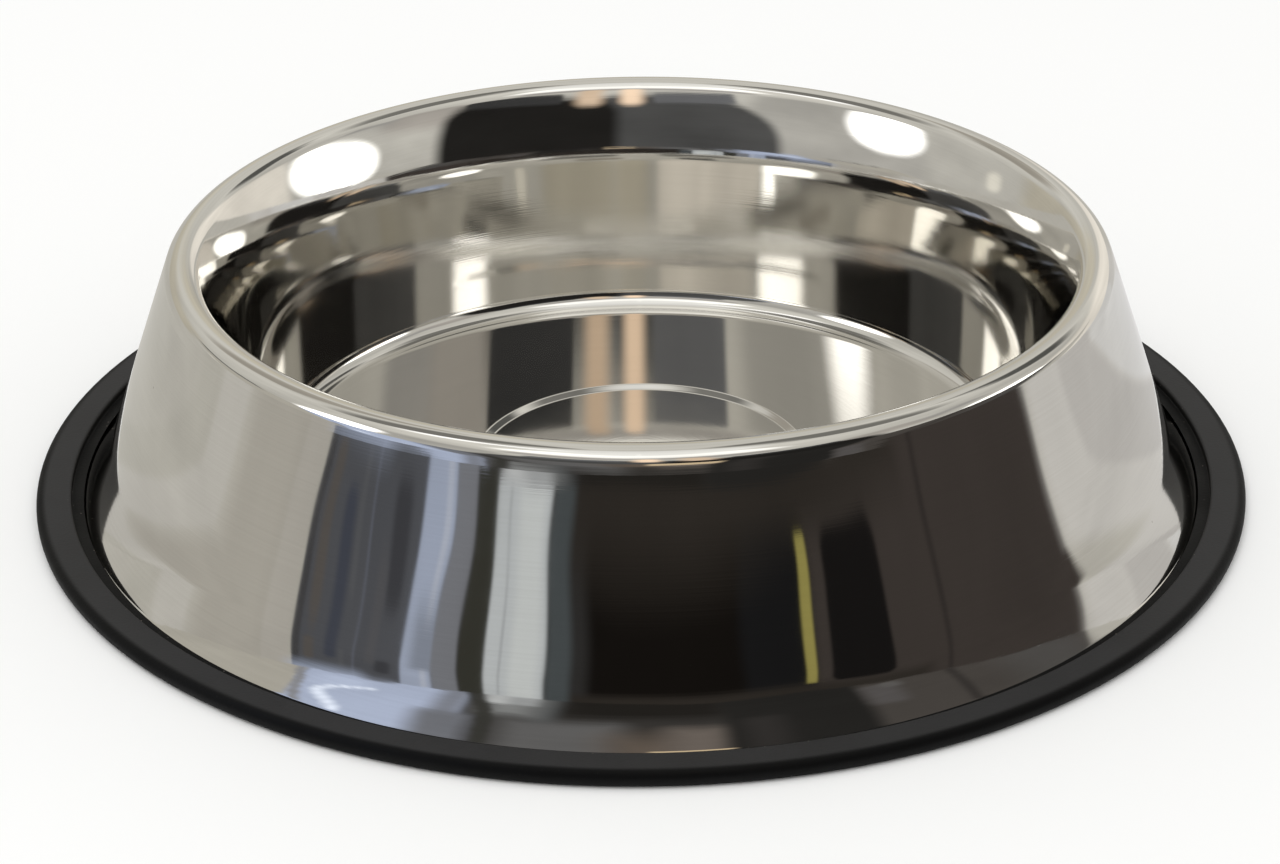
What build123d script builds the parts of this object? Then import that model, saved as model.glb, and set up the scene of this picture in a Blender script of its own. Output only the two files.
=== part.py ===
"""Dog bowl: one deep-drawn steel sheet with a non-slip rubber ring gripped round its foot.

Millimetres and degrees, +Z up. The origin is the centre of the ring's footprint on the ground.
"""

import os
from math import cos, radians, sin, tan

from build123d import *

os.makedirs("parts", exist_ok=True)

# Overall
ring_diameter = 280.0
overall_height = 58.4
sheet = 0.6

# Steel shell, sizes on its polished upper side; each angle is from the vertical
skirt_angle = 19.2
rim_roll_radius = 4.4
rim_slope_angle = 34.2
shoulder_radius = 43.3
wall_draft = 9.3
floor_top = 3.3
floor_corner_radius = 4.4
centre_disc_radius = 39.0
centre_disc_depth = 0.8
centre_disc_step = 1.6
centre_disc_edge_radius = 1.1

# Foot of the skirt, where the sheet flares out into the flange that the ring grips
flare_radius = 36.0
foot_angle = 40.3
foot_bend_radius = 1.5
flange_underside = 0.8
flange_bite = 2.5
straight_between_bends = 0.3

# Rubber ring
rim_width = 8.0
ring_height = 3.8
rim_inner_edge_radius = 0.5
groove_width = 2.8
ledge_thickness = 0.5
sole_reach = 3.0
sole_edge_radius = 0.3

# Clearances of the ring on the sheet
edge_clearance = 0.3
flare_clearance = 0.3

# Directions on the section: right is away from the axis and up is +Z
skirt, slope, wall, foot = (radians(a) for a in (skirt_angle, rim_slope_angle, wall_draft, foot_angle))


def along(start, lean, length):
    """Point up a line that leans away from the axis: a minus lean leans in, a minus length goes down."""
    return start[0] + length * sin(lean), start[1] + length * cos(lean)


# Section of the shell's upper side as straight runs that meet in corners, from the flange inwards
ring_radius = ring_diameter / 2
rim_inner_radius = ring_radius - rim_width
flange_top = flange_underside + sheet
flange_edge_radius = rim_inner_radius + flange_bite
foot_corner = (rim_inner_radius - groove_width, flange_top)
foot_bend_run = foot_bend_radius * tan((radians(90) - foot) / 2)
flare_run = flare_radius * tan((foot - skirt) / 2)
flare_corner = along(foot_corner, -foot, foot_bend_run + straight_between_bends + flare_run)

# The roll of the rim touches the skirt and the slope, and its top sets the overall height
roll_height = overall_height - rim_roll_radius
skirt_at_roll = along(flare_corner, -skirt, (roll_height - flare_corner[1]) / cos(skirt))
roll_centre_radius = skirt_at_roll[0] - rim_roll_radius / cos(skirt)
spread = rim_roll_radius / (1 - cos(skirt + slope))
rim_corner = (
    roll_centre_radius + spread * (cos(skirt) - cos(slope)),
    roll_height + spread * (sin(skirt) + sin(slope)),
)
roll_run = rim_roll_radius / tan((skirt + slope) / 2)
shoulder_run = shoulder_radius * tan((slope - wall) / 2)
shoulder_corner = along(rim_corner, slope, -(roll_run + straight_between_bends + shoulder_run))
floor_corner = along(shoulder_corner, wall, (floor_top - shoulder_corner[1]) / cos(wall))
disc_top = floor_top - centre_disc_depth

with BuildPart() as bowl_shell:
    with BuildSketch(Plane.XZ):
        with BuildLine():
            upper_side = FilletPolyline(
                (0, disc_top),
                (centre_disc_radius - centre_disc_step, disc_top),
                (centre_disc_radius, floor_top),
                floor_corner,
                shoulder_corner,
                rim_corner,
                flare_corner,
                foot_corner,
                (flange_edge_radius, flange_top),
                radius=(
                    centre_disc_edge_radius,
                    centre_disc_edge_radius,
                    floor_corner_radius,
                    shoulder_radius,
                    rim_roll_radius,
                    flare_radius,
                    foot_bend_radius,
                ),
            )
            offset(upper_side, amount=sheet, side=Side.RIGHT)
        make_face()
    revolve(axis=Axis.Z)

# Rubber ring: a sole under the flange, a thin ledge over it and a raised rim outside, with a slot
# between sole and ledge that holds the flange
ledge_top = flange_top + ledge_thickness
ledge_tip_underside = foot_corner[0] + foot_bend_run + flare_clearance
ledge_tip = along(foot_corner, -foot, ledge_thickness / cos(foot))[0] + flare_clearance / cos(foot)
slot_end_radius = flange_edge_radius + edge_clearance
rim_outer_edge_radius = (ring_height - sole_edge_radius) / 2
sole_inner_radius = foot_corner[0] - sole_reach

with BuildPart() as rubber_ring:
    with BuildSketch(Plane.XZ):
        with BuildLine():
            FilletPolyline(
                (sole_inner_radius, 0),
                (ring_radius, 0),
                (ring_radius, ring_height),
                (rim_inner_radius, ring_height),
                (rim_inner_radius, ledge_top),
                (ledge_tip, ledge_top),
                (ledge_tip_underside, flange_top),
                (slot_end_radius, flange_top),
                (slot_end_radius, flange_underside),
                (sole_inner_radius, flange_underside),
                radius=(
                    sole_edge_radius,
                    rim_outer_edge_radius,
                    rim_outer_edge_radius,
                    rim_inner_edge_radius,
                    sole_edge_radius,
                    0,
                    0,
                    0,
                    0,
                    sole_edge_radius,
                ),
                close=True,
            )
        make_face()
    revolve(axis=Axis.Z)

export_step(bowl_shell.part, "parts/bowl_shell.step")
export_step(rubber_ring.part, "parts/rubber_ring.step")
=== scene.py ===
import math

import bmesh
import bpy
from mathutils import Matrix, Vector


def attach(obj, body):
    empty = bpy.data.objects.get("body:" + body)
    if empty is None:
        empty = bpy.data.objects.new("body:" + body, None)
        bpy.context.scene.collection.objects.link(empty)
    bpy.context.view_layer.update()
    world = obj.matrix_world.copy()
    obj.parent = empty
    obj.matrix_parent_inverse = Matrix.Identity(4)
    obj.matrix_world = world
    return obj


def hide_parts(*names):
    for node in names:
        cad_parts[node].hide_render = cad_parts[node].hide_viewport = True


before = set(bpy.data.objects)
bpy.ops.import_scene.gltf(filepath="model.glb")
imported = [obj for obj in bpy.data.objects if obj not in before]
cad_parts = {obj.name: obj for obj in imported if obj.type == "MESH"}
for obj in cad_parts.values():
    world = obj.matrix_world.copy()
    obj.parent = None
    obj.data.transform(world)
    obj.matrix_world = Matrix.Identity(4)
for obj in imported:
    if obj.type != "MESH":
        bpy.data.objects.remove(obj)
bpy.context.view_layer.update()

scene = bpy.context.scene
scene.view_settings.view_transform = "Standard"


# Bowl: one round blank of stainless steel, deep-drawn into floor, wall, rolled rim and conical skirt.
# The drawing leaves a faint ripple in the sheet, and buffing it to a mirror on a lathe leaves hair-fine lines
# round the axis. Its foot flares out into a flat flange, and the rubber ring is stretched over that.
SHEET = 0.0006
BOWL_HEIGHT = 0.0584
DISC_RADIUS = 0.039
DISC_DEPTH = 0.0008
DISC_STEP = 0.0016
DISC_ROUNDING = 0.0011
FLOOR_TOP = 0.0033
FLOOR_ROUNDING = 0.0044
WALL_LEAN = math.radians(9.3)
SHOULDER_ROUNDING = 0.0433
SLOPE_LEAN = math.radians(34.2)
RIM_ROLL = 0.0044
SKIRT_LEAN = math.radians(19.2)
FLARE_ROUNDING = 0.036
FOOT_LEAN = math.radians(40.3)
FOOT_ROUNDING = 0.0015
FOOT_RADIUS = 0.1292
FLANGE_RADIUS = 0.1345
FLANGE_UNDERSIDE = 0.0008
BETWEEN_BENDS = 0.0003
RUN_END = 0.00015
STEPS_ROUND_AXIS = 192


def up_line(start, lean, length):
    """Point up a line that leans away from the axis: a minus lean leans in, a minus length goes down."""
    return start[0] + length * math.sin(lean), start[1] + length * math.cos(lean)


def draw_section(bm, corners, closed=False):
    """Draws a section in the XZ plane from corner to corner. A corner is its distance from the axis, its
    height, its rounding and the steps of that rounding. Each straight run has an extra point close to
    either end, so that its shading stays straight."""
    places = [Vector((reach, 0.0, height)) for reach, height, rounding, steps in corners]
    ahead = [(after - place).normalized() for place, after in zip(places, places[1:] + places[:1])]
    turns = [math.atan2(before.x * after.z - before.z * after.x, before.dot(after))
             for before, after in zip(ahead[-1:] + ahead[:-1], ahead)]
    trims = [corner[2] * math.tan(abs(turn) / 2) for corner, turn in zip(corners, turns)]
    point = bm.verts.new(places[0] + ahead[0] * trims[0])
    for last in range(len(corners) if closed else len(corners) - 1):
        here = (last + 1) % len(corners)
        rounding, steps = corners[here][2:]
        length = (places[here] - places[last]).length - trims[last] - trims[here]
        short = min(RUN_END, length / 4)
        for step in (short, length - 2 * short, short):
            made = bmesh.ops.extrude_vert_indiv(bm, verts=[point])
            point = made["verts"][0]
            bmesh.ops.translate(bm, verts=[point], vec=ahead[last] * step)
        if rounding:
            left = Vector((-ahead[last].z, 0.0, ahead[last].x)) * math.copysign(rounding, turns[here])
            made = bmesh.ops.spin(bm, geom=[point], cent=point.co + left, axis=(0.0, 1.0, 0.0),
                                  angle=-turns[here], steps=steps)
            point = next(part for part in made["geom_last"] if isinstance(part, bmesh.types.BMVert))


def turned(name, bm):
    """Spins a drawn section once round the axis into a skin without a seam, and returns it as an object."""
    bmesh.ops.spin(bm, geom=bm.verts[:] + bm.edges[:], cent=(0, 0, 0), axis=(0, 0, 1),
                   angle=2 * math.pi, steps=STEPS_ROUND_AXIS, use_merge=True)
    bmesh.ops.remove_doubles(bm, verts=bm.verts[:], dist=1e-7)
    bmesh.ops.recalc_face_normals(bm, faces=bm.faces[:])
    mesh = bpy.data.meshes.new(name)
    bm.to_mesh(mesh)
    bm.free()
    mesh.shade_smooth()
    piece = bpy.data.objects.new(name, mesh)
    scene.collection.objects.link(piece)
    return piece


# Foot and skirt, from the flange upwards
flange_top = FLANGE_UNDERSIDE + SHEET
foot_corner = (FOOT_RADIUS, flange_top)
foot_run = FOOT_ROUNDING * math.tan((math.pi / 2 - FOOT_LEAN) / 2)
flare_run = FLARE_ROUNDING * math.tan((FOOT_LEAN - SKIRT_LEAN) / 2)
flare_corner = up_line(foot_corner, -FOOT_LEAN, foot_run + BETWEEN_BENDS + flare_run)

# Rim, whose roll touches the skirt and the slope inside it and stands at the bowl's full height
roll_height = BOWL_HEIGHT - RIM_ROLL
skirt_top = up_line(flare_corner, -SKIRT_LEAN, (roll_height - flare_corner[1]) / math.cos(SKIRT_LEAN))
roll_radius = skirt_top[0] - RIM_ROLL / math.cos(SKIRT_LEAN)
spread = RIM_ROLL / (1 - math.cos(SKIRT_LEAN + SLOPE_LEAN))
rim_corner = (
    roll_radius + spread * (math.cos(SKIRT_LEAN) - math.cos(SLOPE_LEAN)),
    roll_height + spread * (math.sin(SKIRT_LEAN) + math.sin(SLOPE_LEAN)),
)

# Shoulder, wall and floor, from the rim inwards
roll_run = RIM_ROLL / math.tan((SKIRT_LEAN + SLOPE_LEAN) / 2)
shoulder_run = SHOULDER_ROUNDING * math.tan((SLOPE_LEAN - WALL_LEAN) / 2)
shoulder_corner = up_line(rim_corner, SLOPE_LEAN, -(roll_run + BETWEEN_BENDS + shoulder_run))
floor_corner = up_line(shoulder_corner, WALL_LEAN, (FLOOR_TOP - shoulder_corner[1]) / math.cos(WALL_LEAN))
disc_top = FLOOR_TOP - DISC_DEPTH

bm = bmesh.new()
draw_section(bm, (
    (0.0, disc_top, 0.0, 0),
    (DISC_RADIUS - DISC_STEP, disc_top, DISC_ROUNDING, 6),
    (DISC_RADIUS, FLOOR_TOP, DISC_ROUNDING, 6),
    (*floor_corner, FLOOR_ROUNDING, 30),
    (*shoulder_corner, SHOULDER_ROUNDING, 16),
    (*rim_corner, RIM_ROLL, 44),
    (*flare_corner, FLARE_ROUNDING, 20),
    (*foot_corner, FOOT_ROUNDING, 10),
    (FLANGE_RADIUS, flange_top, 0.0, 0),
))
bowl = turned("polished_bowl", bm)

# The polished side faces up, and the sheet's thickness lies under it
if min(bowl.data.polygons, key=lambda face: face.center.length).normal.z < 0:
    bowl.data.flip_normals()
thickness = bowl.modifiers.new("sheet", "SOLIDIFY")
thickness.thickness = SHEET
thickness.offset = -1.0

STEEL_DULL = (0.64, 0.625, 0.59)
STEEL_BRIGHT = (0.70, 0.685, 0.65)
PIT_COLOUR = (0.20, 0.19, 0.17)
PIT_SHOW = 0.55
LINES_PER_METRE = 1500.0
LINES_UPWARDS = 2.0
LINE_BREAKS = 2.2
LINE_DEPTH = 0.0000026
RIPPLE_DEPTH = 0.0008
RIPPLE_INSIDE = 0.05
RIPPLE_FROM, RIPPLE_FULL = 0.102, 0.108
BLOTCH_LOW, BLOTCH_HIGH = 0.35, 0.70
GLOSS_BEST, GLOSS_WORST = 0.030, 0.072
HAZE = 0.006
HAZE_FULL, HAZE_END = 0.005, 0.010


def feed(tree, socket, value):
    """Gives a socket another node's output, or a plain number or colour."""
    if isinstance(value, bpy.types.NodeSocket):
        tree.links.new(value, socket)
    elif isinstance(value, tuple):
        socket.default_value = (*value, 1.0)
    else:
        socket.default_value = value


def work_out(tree, operation, *values):
    """One step of arithmetic on numbers or outputs."""
    node = tree.nodes.new("ShaderNodeMath")
    node.operation = operation
    for socket, value in zip(node.inputs, values):
        feed(tree, socket, value)
    return node.outputs[0]


def graded(tree, value, low, high, at_low=0.0, at_high=1.0, smooth=False):
    """Runs from one value to another while the given one goes from low to high, and stays level outside."""
    node = tree.nodes.new("ShaderNodeMapRange")
    node.interpolation_type = "SMOOTHSTEP" if smooth else "LINEAR"
    for label, number in (("Value", value), ("From Min", low), ("From Max", high),
                          ("To Min", at_low), ("To Max", at_high)):
        feed(tree, node.inputs[label], number)
    return node.outputs["Result"]


def blended(tree, amount, under, over):
    """Lays one colour over another by an amount."""
    node = tree.nodes.new("ShaderNodeMix")
    node.data_type = "RGBA"
    for label, value in (("Factor", amount), ("A", under), ("B", over)):
        feed(tree, node.inputs[label], value)
    return node.outputs["Result"]


def mottled(tree, place, scale, detail):
    """Soft uneven pattern between 0 and 1."""
    node = tree.nodes.new("ShaderNodeTexNoise")
    for label, value in (("Vector", place), ("Scale", scale), ("Detail", detail)):
        feed(tree, node.inputs[label], value)
    return node.outputs["Fac"]


def raised(tree, height, depth, strength, normal=None):
    """Bends the light on a surface as a relief of the given depth would."""
    node = tree.nodes.new("ShaderNodeBump")
    for label, value in (("Height", height), ("Distance", depth), ("Strength", strength)):
        feed(tree, node.inputs[label], value)
    if normal:
        feed(tree, node.inputs["Normal"], normal)
    return node.outputs["Normal"]


def put(tree, group, values):
    """Places a node group with its own values."""
    node = tree.nodes.new("ShaderNodeGroup")
    node.node_tree = group
    for label, value in values.items():
        feed(tree, node.inputs[label], value)
    return node.outputs[0]


def sides(tree, vector):
    """Splits a vector into its X, Y and Z."""
    node = tree.nodes.new("ShaderNodeSeparateXYZ")
    feed(tree, node.inputs[0], vector)
    return node.outputs


def gathered(tree, x, y, z):
    """Makes a vector of its X, Y and Z."""
    node = tree.nodes.new("ShaderNodeCombineXYZ")
    for socket, value in zip(node.inputs, (x, y, z)):
        feed(tree, socket, value)
    return node.outputs[0]


def from_axis(tree, xyz):
    """Distance from the bowl's axis."""
    square = work_out(tree, "MULTIPLY", xyz["X"], xyz["X"])
    return work_out(tree, "SQRT", work_out(tree, "MULTIPLY_ADD", xyz["Y"], xyz["Y"], square))


# Specks that lie singly on a surface, as pits do in the steel and dust does on the rubber
speckling = bpy.data.node_groups.new("scattered_specks", "ShaderNodeTree")
speckling.interface.new_socket("Place", in_out="INPUT", socket_type="NodeSocketVector")
for label in ("Scale", "Heart", "Edge", "Rarity"):
    speckling.interface.new_socket(label, in_out="INPUT", socket_type="NodeSocketFloat")
speckling.interface.new_socket("Specks", in_out="OUTPUT", socket_type="NodeSocketFloat")
given = speckling.nodes.new("NodeGroupInput").outputs
handed = speckling.nodes.new("NodeGroupOutput").inputs
cells = speckling.nodes.new("ShaderNodeTexVoronoi")
feed(speckling, cells.inputs["Vector"], given["Place"])
feed(speckling, cells.inputs["Scale"], given["Scale"])
draw = speckling.nodes.new("ShaderNodeSeparateColor")
feed(speckling, draw.inputs[0], cells.outputs["Color"])
dot = graded(speckling, cells.outputs["Distance"], given["Heart"], given["Edge"], 1.0, 0.0)
chosen = work_out(speckling, "GREATER_THAN", draw.outputs["Red"], given["Rarity"])
feed(speckling, handed["Specks"], work_out(speckling, "MULTIPLY", dot, chosen))

steel = bpy.data.materials.new("buffed_stainless")
steel.use_nodes = True
tree = steel.node_tree
shader = tree.nodes["Principled BSDF"]
shader.inputs["Metallic"].default_value = 1.0
place = tree.nodes.new("ShaderNodeTexCoord").outputs["Object"]
xyz = sides(tree, place)
radius = from_axis(tree, xyz)
past_rim = graded(tree, radius, RIPPLE_FROM, RIPPLE_FULL)

# Lathe lines, fine along the section and long round the axis
facing = tree.nodes.new("ShaderNodeVectorMath")
facing.operation = "NORMALIZE"
feed(tree, facing.inputs[0], gathered(tree, xyz["X"], xyz["Y"], 0.0))
round_axis = sides(tree, facing.outputs[0])
along_section = work_out(tree, "MULTIPLY_ADD", xyz["Z"], LINES_UPWARDS, radius)
lathe = gathered(
    tree,
    work_out(tree, "MULTIPLY", along_section, LINES_PER_METRE),
    work_out(tree, "MULTIPLY", round_axis["X"], LINE_BREAKS),
    work_out(tree, "MULTIPLY", round_axis["Y"], LINE_BREAKS),
)
lines = mottled(tree, lathe, scale=1.0, detail=3.0)

# Colour, with a rare dark pit
pits = put(tree, speckling, {"Place": place, "Scale": 150.0, "Heart": 0.025, "Edge": 0.050, "Rarity": 0.90})
pitted = work_out(tree, "MULTIPLY", pits, PIT_SHOW)
feed(tree, shader.inputs["Base Color"],
     blended(tree, pitted, blended(tree, lines, STEEL_DULL, STEEL_BRIGHT), PIT_COLOUR))

# Gloss, uneven all over and a little hazy low down inside the bowl
blotches = mottled(tree, place, scale=40.0, detail=5.0)
gloss = graded(tree, blotches, BLOTCH_LOW, BLOTCH_HIGH, GLOSS_BEST, GLOSS_WORST)
low = graded(tree, xyz["Z"], HAZE_FULL, HAZE_END, HAZE, 0.0)
haze = work_out(tree, "MULTIPLY", low, work_out(tree, "SUBTRACT", 1.0, past_rim))
feed(tree, shader.inputs["Roughness"], work_out(tree, "ADD", gloss, haze))

# Ripple, nearly all of it in the skirt, and the lines on top of it
rippled = work_out(tree, "MULTIPLY_ADD", past_rim, 1.0 - RIPPLE_INSIDE, RIPPLE_INSIDE)
ripple = work_out(tree, "MULTIPLY", mottled(tree, place, scale=20.0, detail=1.0), rippled)
feed(tree, shader.inputs["Normal"],
     raised(tree, lines, LINE_DEPTH, strength=1.0, normal=raised(tree, ripple, RIPPLE_DEPTH, strength=1.0)))

bowl.data.materials.append(steel)
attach(bowl, "root")
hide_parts("bowl_shell")


# Non-slip ring: soft black rubber, moulded in one piece with a slot that the foot's flange snaps into.
# It is stretched over the flange, so it sits tight under the sheet, with a groove open above it.
RING_HEIGHT = 0.0038
RING_RIM_WIDTH = 0.008
RING_RIM_ROUNDING = 0.0005
FLANGE_BITE = 0.0025
LEDGE = 0.0005
SOLE_REACH = 0.003
SOLE_ROUNDING = 0.0003
CLEARANCE = 0.0003
CLOSING_GAP = 0.00002

rim_inside = FLANGE_RADIUS - FLANGE_BITE
ring_radius = rim_inside + RING_RIM_WIDTH
outer_rounding = (RING_HEIGHT - SOLE_ROUNDING) / 2
sole_inside = FOOT_RADIUS - SOLE_REACH
slot_end = FLANGE_RADIUS + CLEARANCE
ledge_top = flange_top + LEDGE
ledge_on_sheet = up_line(foot_corner, -FOOT_LEAN, LEDGE / math.cos(FOOT_LEAN))
ledge_tip = ledge_on_sheet[0] + CLEARANCE / math.cos(FOOT_LEAN)
ledge_under = FOOT_RADIUS + foot_run + CLEARANCE

bm = bmesh.new()
draw_section(bm, (
    (sole_inside, 0.0, SOLE_ROUNDING, 4),
    (ring_radius, 0.0, outer_rounding, 10),
    (ring_radius, RING_HEIGHT, outer_rounding, 10),
    (rim_inside, RING_HEIGHT, RING_RIM_ROUNDING, 6),
    (rim_inside, ledge_top, SOLE_ROUNDING, 4),
    (ledge_tip, ledge_top, 0.0, 0),
    (ledge_under, flange_top, 0.0, 0),
    (slot_end, flange_top, 0.0, 0),
    (slot_end, FLANGE_UNDERSIDE, 0.0, 0),
    (sole_inside, FLANGE_UNDERSIDE, SOLE_ROUNDING, 4),
), closed=True)
bmesh.ops.remove_doubles(bm, verts=bm.verts[:], dist=CLOSING_GAP)
ring = turned("moulded_ring", bm)

# Near-black rubber, with a lighter grey painted on the flat top as painted light; the outer side and groove
# stay near-black as painted shade
RUBBER_BLACK = (0.0030, 0.0030, 0.0031)
RUBBER_PAINTED_LIT_TOP = (0.034, 0.0335, 0.0338)
DUST_COLOUR = (0.17, 0.155, 0.135)
DUST_ON_RIM = 0.03
CROWN_FADE_FROM, CROWN_FADE_END = ring_radius - 0.0026, ring_radius - 0.0010
TOP_FROM, TOP_FULL = RING_HEIGHT - 0.0012, RING_HEIGHT - 0.0002
DUST_FULL, DUST_END = rim_inside + 0.0002, rim_inside + 0.0010
GREY_LEAST, GREY_CLOUDED = 0.6, 0.7
RUBBER_SHEEN = 0.14
RUBBER_SMOOTHEST, RUBBER_ROUGHEST = 0.48, 0.72
PORE_DEPTH = 0.00008

rubber = bpy.data.materials.new("moulded_rubber")
rubber.use_nodes = True
tree = rubber.node_tree
shader = tree.nodes["Principled BSDF"]
shader.inputs["Specular IOR Level"].default_value = RUBBER_SHEEN
place = tree.nodes.new("ShaderNodeTexCoord").outputs["Object"]
xyz = sides(tree, place)
radius = from_axis(tree, xyz)
cloud = mottled(tree, place, scale=70.0, detail=5.0)

# Colour: painted light and shade. The flat top is painted a lighter grey as if lit, and the rounded outer
# side and the groove are left near-black as painted shade. Real dust specks lie in the groove
crown = graded(tree, radius, CROWN_FADE_FROM, CROWN_FADE_END, 1.0, 0.0, smooth=True)
flat_top = graded(tree, xyz["Z"], TOP_FROM, TOP_FULL, smooth=True)
patchy = work_out(tree, "MULTIPLY_ADD", cloud, GREY_CLOUDED, GREY_LEAST)
painted_top_light = work_out(tree, "MULTIPLY", work_out(tree, "MULTIPLY", crown, flat_top), patchy)
dust = put(tree, speckling, {"Place": place, "Scale": 900.0, "Heart": 0.10, "Edge": 0.16, "Rarity": 0.86})
groove = graded(tree, radius, DUST_FULL, DUST_END, 1.0, DUST_ON_RIM)
dusty = work_out(tree, "MULTIPLY", dust, groove)
feed(tree, shader.inputs["Base Color"],
     blended(tree, dusty, blended(tree, painted_top_light, RUBBER_BLACK, RUBBER_PAINTED_LIT_TOP), DUST_COLOUR))

# Matt surface with fine pores from the mould
feed(tree, shader.inputs["Roughness"], graded(tree, cloud, 0.0, 1.0, RUBBER_SMOOTHEST, RUBBER_ROUGHEST))
pores = mottled(tree, place, scale=1400.0, detail=4.0)
feed(tree, shader.inputs["Normal"], raised(tree, pores, PORE_DEPTH, strength=0.7))

ring.data.materials.append(rubber)
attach(ring, "root")
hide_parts("rubber_ring")


# Floor: a plain pale sweep of studio paper under the bowl, much wider than the view.
# It takes the bowl's soft shadow and is as bright as the backdrop.
FLOOR_RADIUS = 6.0
PAPER_WHITE = (0.97, 0.97, 0.965)
PAPER_ROUGH = 0.9

bm = bmesh.new()
bmesh.ops.create_circle(bm, cap_ends=True, segments=96, radius=FLOOR_RADIUS)
mesh = bpy.data.meshes.new("studio_floor")
bm.to_mesh(mesh)
bm.free()
floor = bpy.data.objects.new("studio_floor", mesh)
scene.collection.objects.link(floor)
paper = bpy.data.materials.new("studio_paper")
paper.use_nodes = True
tree = paper.node_tree
shader = tree.nodes["Principled BSDF"]
feed(tree, shader.inputs["Base Color"], PAPER_WHITE)
feed(tree, shader.inputs["Roughness"], PAPER_ROUGH)
feed(tree, shader.inputs["Specular IOR Level"], 0.0)
floor.data.materials.append(paper)


# Studio round the bowl: mirror steel shows what stands about it, so a dome of pale walls with lamps and dark
# flags hangs far out, a low ring of cards stands close round the skirt, and a canopy of cards leans in above
# its front half. They are painted as glowing faces that only reflections see.
DOME_RADIUS = 4.0
WALL_LOW = (0.54, 0.53, 0.495)
WALL_HIGH = (0.84, 0.825, 0.775)
WALL_HIGH_UP = 60.0
RING_OF_CARDS = 0.4
RING_OF_CARDS_HIGH = 0.105
APRON_INSIDE = 0.146
APRON_LIFT = 0.0004
CARD_GREY = (0.60, 0.585, 0.54)
CANOPY_LIP = 0.155
CANOPY_LIP_HIGH = 0.083
CANOPY_LIP_UP = 50.0
CANOPY_SPAN = math.radians(190)
CLOTH_EDGE = -0.0724
CLOTH_LEAN = 0.07
CLOTH_FRAY = 0.006
CLOTH_ON_APRON = (0.058, 0.049, 0.045)
CLOTH_ON_CANOPY = (0.085, 0.077, 0.072)

# A card is given by the bearing of its middle from the front, counted to the right, its height, half its
# width, half its height, the rounding of its corners and the softness of its edge, all in degrees, and its
# colour. Later cards lie over earlier ones.
DOME_CARDS = (
    # Tones of the pale wall behind, and a small bright card on the left
    (-176, 14, 9, 10, 6, 8, (0.66, 0.62, 0.52)),
    (-146, 14, 20, 9, 6, 9, (0.60, 0.565, 0.475)),
    (140.5, 14, 29, 12, 6, 5, (1.02, 0.97, 0.89)),
    (-113.5, 14.5, 2.6, 4, 2.4, 3, (0.95, 0.92, 0.83)),
    # Flags high up behind and at the sides
    (140, 63, 26, 9, 8, 8, (0.24, 0.235, 0.22)),
    (-140, 63, 26, 9, 8, 8, (0.24, 0.235, 0.22)),
    (146, 40, 11, 7, 4, 6, (0.11, 0.11, 0.105)),
    (-157, 40, 14, 7, 4, 6, (0.42, 0.395, 0.35)),
    (0, 56, 42, 6, 4, 6, (0.54, 0.52, 0.50)),
    (68, 40, 14, 8, 6, 8, (0.57, 0.54, 0.505)),
    (88, 40, 10, 4, 3, 8, (0.50, 0.49, 0.475)),
    (-62, 21.5, 26, 26.5, 8, 8, (0.57, 0.56, 0.53)),
    # Dark flags in front, with two warm slits over them
    (-5.5, 10, 36, 36.5, 28, 5, (0.100, 0.101, 0.103)),
    (33, 15, 27, 30, 12, 6, (0.020, 0.019, 0.018)),
    (39.5, 44.2, 15.5, 3.0, 1.5, 2.0, (0.060, 0.061, 0.063)),
    (-18, 44.0, 13, 3.2, 1.5, 2.5, (0.190, 0.195, 0.210)),
    (2.0, 47.5, 3.4, 8, 3, 5, (1.30, 1.00, 0.75)),
    (15.5, 47.5, 4.0, 8, 3, 6, (0.92, 0.71, 0.53)),
    # Lamps overhead, then one round lamp on either side
    (0, 76, 60, 14.5, 12, 8, (1.6, 1.6, 1.57)),
    (180, 85, 180, 9, 4, 6, (1.15, 1.15, 1.13)),
    (-106, 72, 10, 9, 6, 6, (1.6, 1.6, 1.62)),
    (95, 18.3, 15.3, 11.3, 10.8, 5, (3.0, 3.0, 2.95)),
    (-77, 31.0, 12, 11.6, 11, 6, (3.0, 3.0, 3.0)),
)
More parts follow.
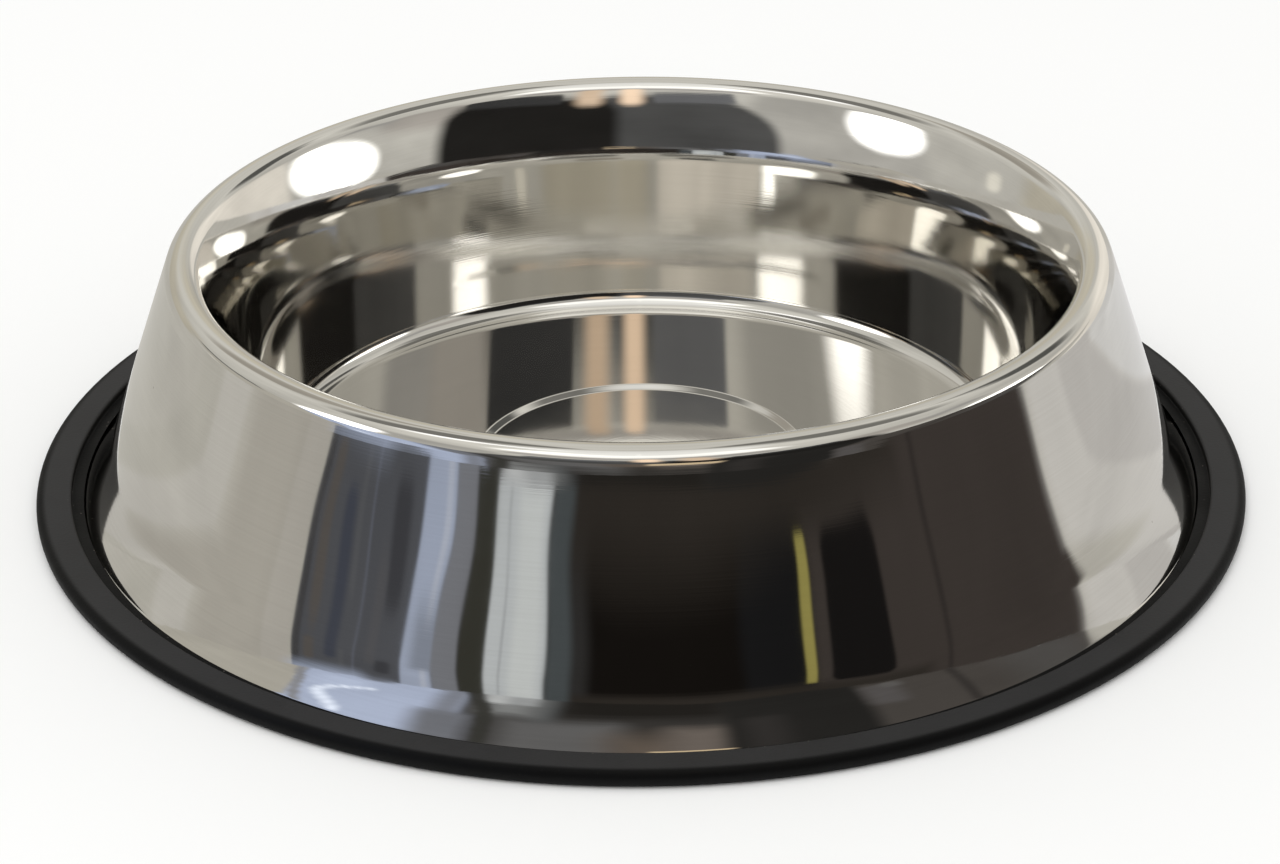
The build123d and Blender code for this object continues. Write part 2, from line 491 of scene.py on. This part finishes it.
NEAR_CARDS = (
    # Grey panels on the left, the dark front and pale panels on the right
    (-100.5, 0, 4, 40, 0.5, 3, (0.575, 0.562, 0.515)),
    (-91, 0, 4.5, 40, 0.5, 2, (0.635, 0.620, 0.585)),
    (-74, 0, 11, 40, 1, 6, (0.515, 0.495, 0.450)),
    (-66, 0, 3, 40, 0.5, 1, (0.55, 0.53, 0.49)),
    (-21, 0, 41, 40, 0.5, 1.0, (0.034, 0.033, 0.033)),
    (112, 0, 28, 40, 1, 6, (0.72, 0.705, 0.685)),
    (104, 0, 7, 40, 0.5, 2.5, (0.630, 0.615, 0.600)),
    (121, 0, 9, 40, 0.5, 2, (0.79, 0.785, 0.78)),
    (8, 0, 18, 40, 0.5, 3.0, (0.009, 0.0075, 0.0065)),
    (23, 0, 6, 40, 0.5, 3.0, (0.012, 0.012, 0.013)),
    (10, 15, 40, 3, 0.5, 5.0, (0.036, 0.031, 0.027)),
    # Bluish card with two dark panels before it, a bar between them and soft pale heads
    (-50.9, 15, 10.5, 12, 0.5, 0.8, (0.56, 0.66, 0.90)),
    (-56.1, 3, 6.2, 13, 0.4, 0.6, (0.105, 0.110, 0.126)),
    (-61.4, 7, 0.7, 7.5, 0.5, 0.8, (0.072, 0.072, 0.078)),
    (-58.8, 7.5, 1.0, 4.0, 1.0, 1.2, (0.125, 0.115, 0.110)),
    (-54.6, 5.0, 1.1, 4.5, 1.0, 1.4, (0.070, 0.078, 0.105)),
    (-52.4, 9.0, 0.5, 3.0, 0.4, 0.8, (0.120, 0.125, 0.140)),
    (-49.8, 3, 0.5, 13, 0.2, 0.6, (0.135, 0.145, 0.18)),
    (-44.9, 3, 4.9, 13, 0.4, 0.6, (0.098, 0.103, 0.119)),
    (-44.0, 9.5, 1.6, 2.5, 1.2, 1.6, (0.060, 0.062, 0.072)),
    (-46.6, 5.0, 1.0, 4.0, 0.8, 1.4, (0.110, 0.112, 0.125)),
    (-55.5, 17.5, 6.5, 3.0, 1.0, 8.0, (0.56, 0.65, 0.88)),
    (-45.5, 17.8, 4.0, 2.0, 1.0, 6.0, (0.40, 0.45, 0.58)),
    # Narrow strips beside it, and a broad pale one
    (-37.6, 0, 2.8, 40, 0.5, 0.8, (0.42, 0.480, 0.63)),
    (-36.2, 0, 0.5, 40, 0.2, 0.8, (0.52, 0.57, 0.70)),
    (-36.4, 4, 2.2, 4, 1.0, 3.0, (0.28, 0.315, 0.40)),
    (-32.9, 0, 2.0, 40, 0.5, 1.0, (0.227, 0.237, 0.27)),
    (-28.8, 0, 2.0, 40, 0.5, 0.8, (0.046, 0.046, 0.038)),
    (-21.8, 0, 5.0, 15.4, 0.5, 0.8, (0.64, 0.68, 0.715)),
    (-20.3, 0, 2.2, 15.2, 0.5, 2.0, (0.74, 0.78, 0.80)),
    (-24.2, 0, 0.25, 15.0, 0.1, 0.4, (0.50, 0.53, 0.56)),
    (-14.8, 0, 1.9, 16, 0.5, 2.0, (0.082, 0.095, 0.103)),
    # Small accents on the right
    (28.2, 9.0, 0.9, 2.7, 0.3, 0.7, (0.36, 0.32, 0.10)),
    (37.6, 7.6, 5.8, 4.2, 2.0, 1.0, (0.011, 0.010, 0.010)),
    (54.0, 0, 0.5, 40, 0.2, 1.0, (0.040, 0.034, 0.032)),
)


def strung(path, *card):
    """Lays the same small card at each bearing and height of a path, so that they join into a bent strip."""
    return tuple((across, up, *card) for across, up in path)


DARK_SEAM = ((-28.2, 1.0), (-27.7, 5.5), (-27.2, 10.0), (-26.6, 14.0), (-26.0, 17.5), (-25.4, 21.0),
             (-24.9, 24.5), (-24.5, 28.5), (-24.2, 33.0), (-24.0, 38.0), (-24.0, 43.0))
SHADE_LINE = ((-60.0, 2.0), (-59.8, 7.0), (-59.2, 11.0), (-58.5, 15.0), (-58.1, 19.0), (-57.8, 23.0),
              (-57.3, 27.0), (-56.6, 30.5), (-55.9, 34.0), (-55.1, 37.5))
LAMP_CURVE = ((-44.5, 17.0), (-47.0, 17.8), (-49.4, 18.8), (-51.5, 20.3), (-53.2, 22.4), (-53.6, 24.8),
              (-52.8, 27.1), (-51.6, 29.3), (-50.3, 31.5), (-49.0, 33.7))
CANOPY_CARDS = (
    # Dark front, with the bluish card and the grey panels of the ring of cards carried on
    (-18.5, 25, 40.5, 60, 0.5, 1.5, (0.050, 0.047, 0.045)),
    (0, 6, 15, 17, 6, 12, (0.022, 0.020, 0.018)),
    (-15.5, 10, 1.8, 22, 1, 4, (0.090, 0.096, 0.101)),
    (-44, 22, 15, 60, 0.5, 2.5, (0.56, 0.645, 0.87)),
    (-51, 13, 5, 7, 4, 7, (0.66, 0.76, 1.02)),
    (-45, -1, 2.4, 4, 1, 6, (0.17, 0.18, 0.21)),
    (-30.8, 8, 2.2, 26, 1, 4, (0.30, 0.325, 0.40)),
    (-30.5, 40, 4.2, 12, 2, 6, (0.220, 0.232, 0.270)),
    (-78, 25, 18.3, 60, 0.5, 1.5, (0.56, 0.54, 0.485)),
    (-62.4, 36, 4.0, 18, 3, 2.5, (0.56, 0.54, 0.485)),
    # Head of the broad pale strip
    (-21.0, 6, 4.2, 19.5, 1, 8, (0.30, 0.31, 0.32)),
    (-21.6, 0, 4.4, 14, 1, 3, (0.44, 0.46, 0.48)),
    (-23.8, 0, 1.9, 14.5, 1, 4, (0.66, 0.685, 0.71)),
    # Greys towards the lip, then dark and faint bands on the right
    (-12.5, 43, 9, 15, 2, 9, (0.165, 0.165, 0.170)),
    (0.8, 50, 6, 15, 2, 14, (0.170, 0.138, 0.115)),
    (8.0, 45.5, 4, 15, 2, 8, (0.200, 0.172, 0.155)),
    (24, 25, 12, 60, 0.5, 4, (0.025, 0.024, 0.023)),
    (17.5, 38, 3, 12, 2, 6, (0.042, 0.039, 0.038)),
    (39.3, 17, 3.0, 11, 2, 4, (0.120, 0.113, 0.115)),
    (41.5, 8, 1.8, 4, 1.4, 3, (0.145, 0.140, 0.140)),
    (53.5, 20, 1.0, 60, 0.5, 2, (0.050, 0.045, 0.043)),
    (72, 25, 8, 60, 4, 12, (0.100, 0.096, 0.094)),
    # One warm slit and one dark patch at the lip
    (6.8, 50, 5.6, 8.6, 0.8, 2, (0.80, 0.63, 0.42)),
    (-79, 52, 10, 5, 1, 3, (0.17, 0.17, 0.16)),
    *strung(DARK_SEAM, 1.2, 3.2, 1.1, 2.0, (0.056, 0.056, 0.051)),
    *strung(SHADE_LINE, 0.8, 2.8, 0.7, 1.8, (0.35, 0.36, 0.40)),
    *strung(LAMP_CURVE, 1.0, 1.1, 0.9, 2.6, (1.18, 1.30, 1.55)),
)

card = bpy.data.node_groups.new("studio_card", "ShaderNodeTree")
card.interface.new_socket("Behind", in_out="INPUT", socket_type="NodeSocketColor")
for label in ("Across", "Up", "Card Across", "Card Up", "Half Width", "Half Height", "Corner", "Soft"):
    card.interface.new_socket(label, in_out="INPUT", socket_type="NodeSocketFloat")
card.interface.new_socket("Card", in_out="INPUT", socket_type="NodeSocketColor")
card.interface.new_socket("Color", in_out="OUTPUT", socket_type="NodeSocketColor")
given = card.nodes.new("NodeGroupInput").outputs
handed = card.nodes.new("NodeGroupOutput").inputs
offset = work_out(card, "SUBTRACT", given["Across"], given["Card Across"])
nearest = work_out(card, "ABSOLUTE", work_out(card, "WRAP", offset, 180.0, -180.0))
straight_across = work_out(card, "SUBTRACT", given["Half Width"], given["Corner"])
beside = work_out(card, "SUBTRACT", nearest, straight_across)
height = work_out(card, "ABSOLUTE", work_out(card, "SUBTRACT", given["Up"], given["Card Up"]))
straight_up = work_out(card, "SUBTRACT", given["Half Height"], given["Corner"])
above = work_out(card, "SUBTRACT", height, straight_up)
out_across = work_out(card, "MAXIMUM", beside, 0.0)
out_up = work_out(card, "MAXIMUM", above, 0.0)
across_square = work_out(card, "MULTIPLY", out_across, out_across)
outside = work_out(card, "SQRT", work_out(card, "MULTIPLY_ADD", out_up, out_up, across_square))
inside = work_out(card, "MINIMUM", work_out(card, "MAXIMUM", beside, above), 0.0)
edge = work_out(card, "SUBTRACT", work_out(card, "ADD", outside, inside), given["Corner"])
half_soft = work_out(card, "MULTIPLY", given["Soft"], 0.5)
cover = graded(card, edge, work_out(card, "MULTIPLY", half_soft, -1.0), half_soft, 1.0, 0.0, smooth=True)
feed(card, handed["Color"], blended(card, cover, given["Behind"], given["Card"]))


def glow(name, cards, low, high, up_of, cloud_scale, uneven_by, cloth=None):
    """Emission that paints cards over a wall, by bearing from the front and by height in degrees. A cloth,
    where there is one, lies over the wall on the right, on the front side of a straight line."""
    material = bpy.data.materials.new(name)
    material.use_nodes = True
    tree = material.node_tree
    tree.nodes.remove(tree.nodes["Principled BSDF"])
    place = tree.nodes.new("ShaderNodeTexCoord").outputs["Object"]
    xyz = sides(tree, place)
    front = work_out(tree, "MULTIPLY", xyz["Y"], -1.0)
    bearing = work_out(tree, "DEGREES", work_out(tree, "ARCTAN2", xyz["X"], front))
    up = up_of(tree, xyz)
    ramp = tree.nodes.new("ShaderNodeValToRGB")
    ramp.color_ramp.elements[0].color = (*low, 1.0)
    ramp.color_ramp.elements[1].color = (*high, 1.0)
    feed(tree, ramp.inputs["Fac"], work_out(tree, "DIVIDE", up, WALL_HIGH_UP))
    colour = ramp.outputs["Color"]
    if cloth:
        line = work_out(tree, "MULTIPLY_ADD", xyz["X"], CLOTH_LEAN, CLOTH_EDGE)
        before_line = work_out(tree, "SUBTRACT", line, xyz["Y"])
        covered = graded(tree, before_line, -CLOTH_FRAY, CLOTH_FRAY, smooth=True)
        on_right = work_out(tree, "GREATER_THAN", xyz["X"], 0.0)
        colour = blended(tree, work_out(tree, "MULTIPLY", covered, on_right), colour, cloth)
    for across, tall, half_width, half_height, corner, soft, shade in cards:
        colour = put(tree, card, {
            "Behind": colour, "Across": bearing, "Up": up,
            "Card Across": across, "Card Up": tall, "Half Width": half_width, "Half Height": half_height,
            "Corner": corner, "Soft": soft, "Card": shade,
        })
    lit = tree.nodes.new("ShaderNodeEmission")
    clouds = mottled(tree, place, scale=cloud_scale, detail=3.0)
    feed(tree, lit.inputs["Color"], colour)
    feed(tree, lit.inputs["Strength"], graded(tree, clouds, 0.3, 0.7, 1.0 - uneven_by, 1.0 + uneven_by))
    feed(tree, tree.nodes["Material Output"].inputs["Surface"], lit.outputs[0])
    return material


def reflector(name, bm, material):
    """Puts a finished card on the set, where only reflections see it."""
    mesh = bpy.data.meshes.new(name)
    bm.to_mesh(mesh)
    bm.free()
    piece = bpy.data.objects.new(name, mesh)
    scene.collection.objects.link(piece)
    piece.data.materials.append(material)
    piece.visible_camera = False
    piece.visible_diffuse = False
    piece.visible_transmission = False
    piece.visible_volume_scatter = False
    piece.visible_shadow = False


def climb(tree, xyz, reach):
    """Height in degrees on a wall that stands this far out."""
    share = work_out(tree, "DIVIDE", xyz["Z"], reach)
    return work_out(tree, "DEGREES", work_out(tree, "ARCSINE", share))


def lean_in(tree, xyz):
    """Height on the canopy, counted from the ring of cards inwards to the lip."""
    inward = work_out(tree, "SUBTRACT", RING_OF_CARDS, from_axis(tree, xyz))
    return work_out(tree, "MULTIPLY", inward, CANOPY_LIP_UP / (RING_OF_CARDS - CANOPY_LIP))


bm = bmesh.new()
bmesh.ops.create_uvsphere(bm, u_segments=96, v_segments=48, radius=DOME_RADIUS)
walls = glow("studio_walls", DOME_CARDS, WALL_LOW, WALL_HIGH, lambda tree, xyz: climb(tree, xyz, DOME_RADIUS),
             cloud_scale=0.5, uneven_by=0.17)
reflector("studio_dome", bm, walls)

bm = bmesh.new()
apron = bm.verts.new((0.0, -APRON_INSIDE, APRON_LIFT))
foot = bm.verts.new((0.0, -RING_OF_CARDS, APRON_LIFT))
head = bm.verts.new((0.0, -RING_OF_CARDS, RING_OF_CARDS_HIGH))
bmesh.ops.spin(bm, geom=[apron, foot, head, bm.edges.new((apron, foot)), bm.edges.new((foot, head))],
               cent=(0, 0, 0), axis=(0, 0, 1), angle=2 * math.pi, steps=160, use_merge=True)
faces = glow("studio_card_faces", NEAR_CARDS, CARD_GREY, CARD_GREY,
             lambda tree, xyz: climb(tree, xyz, RING_OF_CARDS),
             cloud_scale=9.0, uneven_by=0.07, cloth=CLOTH_ON_APRON)
reflector("studio_cards", bm, faces)

bm = bmesh.new()
head = bm.verts.new((0.0, -RING_OF_CARDS, RING_OF_CARDS_HIGH))
lip = bm.verts.new((0.0, -CANOPY_LIP, CANOPY_LIP_HIGH))
bmesh.ops.spin(bm, geom=[head, lip, bm.edges.new((head, lip))], cent=(0, 0, 0), axis=(0, 0, 1),
               angle=CANOPY_SPAN, steps=80)
bmesh.ops.rotate(bm, verts=bm.verts[:], cent=(0, 0, 0), matrix=Matrix.Rotation(-CANOPY_SPAN / 2, 3, "Z"))
face = glow("studio_canopy_face", CANOPY_CARDS, CARD_GREY, CARD_GREY, lean_in,
            cloud_scale=9.0, uneven_by=0.07, cloth=CLOTH_ON_CANOPY)
reflector("studio_canopy", bm, face)


# Light: an even pale surround and one large soft lamp above the front, set so that the paper is just white.
# The steel doesn't show the lamp. It mirrors itself many times over in the floor corner, so the light is
# followed through twelve mirror bounces.
SURROUND = (1.0, 1.0, 0.99)
SURROUND_STRENGTH = 0.91
LAMP_PLACE = Vector((-0.3, -0.5, 1.4))
LAMP_WIDTH = 1.0
LAMP_POWER = 3.5
MIRROR_BOUNCES = 12

world = bpy.data.worlds.new("studio")
scene.world = world
world.use_nodes = True
surround = world.node_tree.nodes["Background"]
feed(world.node_tree, surround.inputs["Color"], SURROUND)
feed(world.node_tree, surround.inputs["Strength"], SURROUND_STRENGTH)
lamp_data = bpy.data.lights.new("overhead_softbox", "AREA")
lamp_data.shape = "DISK"
lamp_data.size = LAMP_WIDTH
lamp_data.energy = LAMP_POWER
lamp = bpy.data.objects.new("overhead_softbox", lamp_data)
scene.collection.objects.link(lamp)
lamp.location = LAMP_PLACE
lamp.rotation_euler = (-LAMP_PLACE).to_track_quat("-Z", "Y").to_euler()
lamp.visible_glossy = False
scene.cycles.glossy_bounces = MIRROR_BOUNCES


# Camera: a long lens in front of the bowl and well above it, about 0.8 m away and tipped 26.5 degrees down.
# Its angles in radians and its place were fitted to the outlines of rim, skirt and ring.
SENSOR = 36.0
LENS = 98.4375
CAMERA_PLACE = (0.0, -0.73047, 0.37439)
PAN, TILT, ROLL = -0.00017, 0.46314, -0.00738

camera_data = bpy.data.cameras.new("view")
camera_data.sensor_width = SENSOR
camera_data.lens = LENS
camera = bpy.data.objects.new("view", camera_data)
scene.collection.objects.link(camera)
forward = Vector((math.sin(PAN) * math.cos(TILT), math.cos(PAN) * math.cos(TILT), -math.sin(TILT)))
level = Vector((math.cos(PAN), -math.sin(PAN), 0.0))
upright = level.cross(forward)
side = level * math.cos(ROLL) + upright * math.sin(ROLL)
top = upright * math.cos(ROLL) - level * math.sin(ROLL)
pose = Matrix((side, top, -forward)).transposed().to_4x4()
pose.translation = CAMERA_PLACE
camera.matrix_world = pose
scene.camera = camera

bpy.context.view_layer.update()
